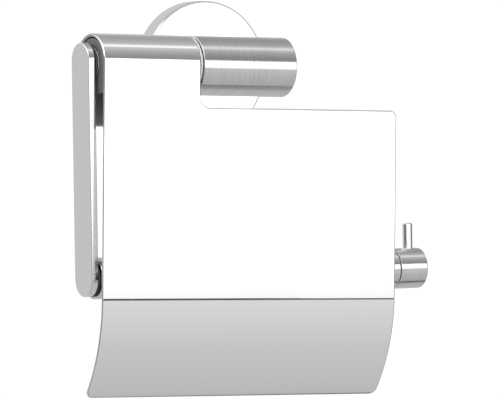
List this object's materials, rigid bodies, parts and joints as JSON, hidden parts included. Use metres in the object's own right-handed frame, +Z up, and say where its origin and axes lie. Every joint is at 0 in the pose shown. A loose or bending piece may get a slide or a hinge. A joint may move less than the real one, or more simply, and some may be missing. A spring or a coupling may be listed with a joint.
{
  "type": "toilet paper holder",
  "caption": "Wall-mounted toilet paper holder: round rosette, short post, flat arm with a straight roll bar and end pin, and a bent sheet cover that lifts on a hinge.",
  "frame": {"origin": "centre of the face that lies on the wall, on the rosette's axis", "axes": "+Z up, +Y out of the back of the part into the wall, +X along the roll bar towards its free end"},
  "size_m": [0.142, 0.0608, 0.144],
  "materials": {
    "polished_steel": "polished stainless steel",
    "brushed_steel": "finely brushed around the tube",
    "satin_steel": "satin",
    "plain_steel": "turned",
    "cast_zinc": "as cast",
    "grey_plastic": "moulded, matte",
    "black_rubber": "matte"
  },
  "bodies": {
    "holder": {"wall_bracket": "cast_zinc", "rosette": "polished_steel", "rosette_set_screw": "plain_steel", "post": "brushed_steel", "post_bolt": "plain_steel", "hub_tube": "brushed_steel", "hub_end_cap": "brushed_steel", "hub_core": "plain_steel", "hub_stud": "plain_steel", "axle": "plain_steel", "thrust_washer": "grey_plastic", "arm_washer": "black_rubber", "arm": "satin_steel", "bar_washer": "black_rubber", "roll_bar": "brushed_steel", "bar_end_cap": "brushed_steel", "stop_pin": "polished_steel"},
    "cover_flap": {"cover": "polished_steel", "bush_left": "grey_plastic", "bush_right": "grey_plastic", "cover_screw_left": "plain_steel", "cover_screw_right": "plain_steel"}
  },
  "joints": [
    {"name": "cover_hinge", "type": "hinge", "parent": "holder", "child": "cover_flap", "pos_m": [0, -0.05, 0], "axis": [-1, 0, 0], "range_deg": [0, 175]}
  ]
}
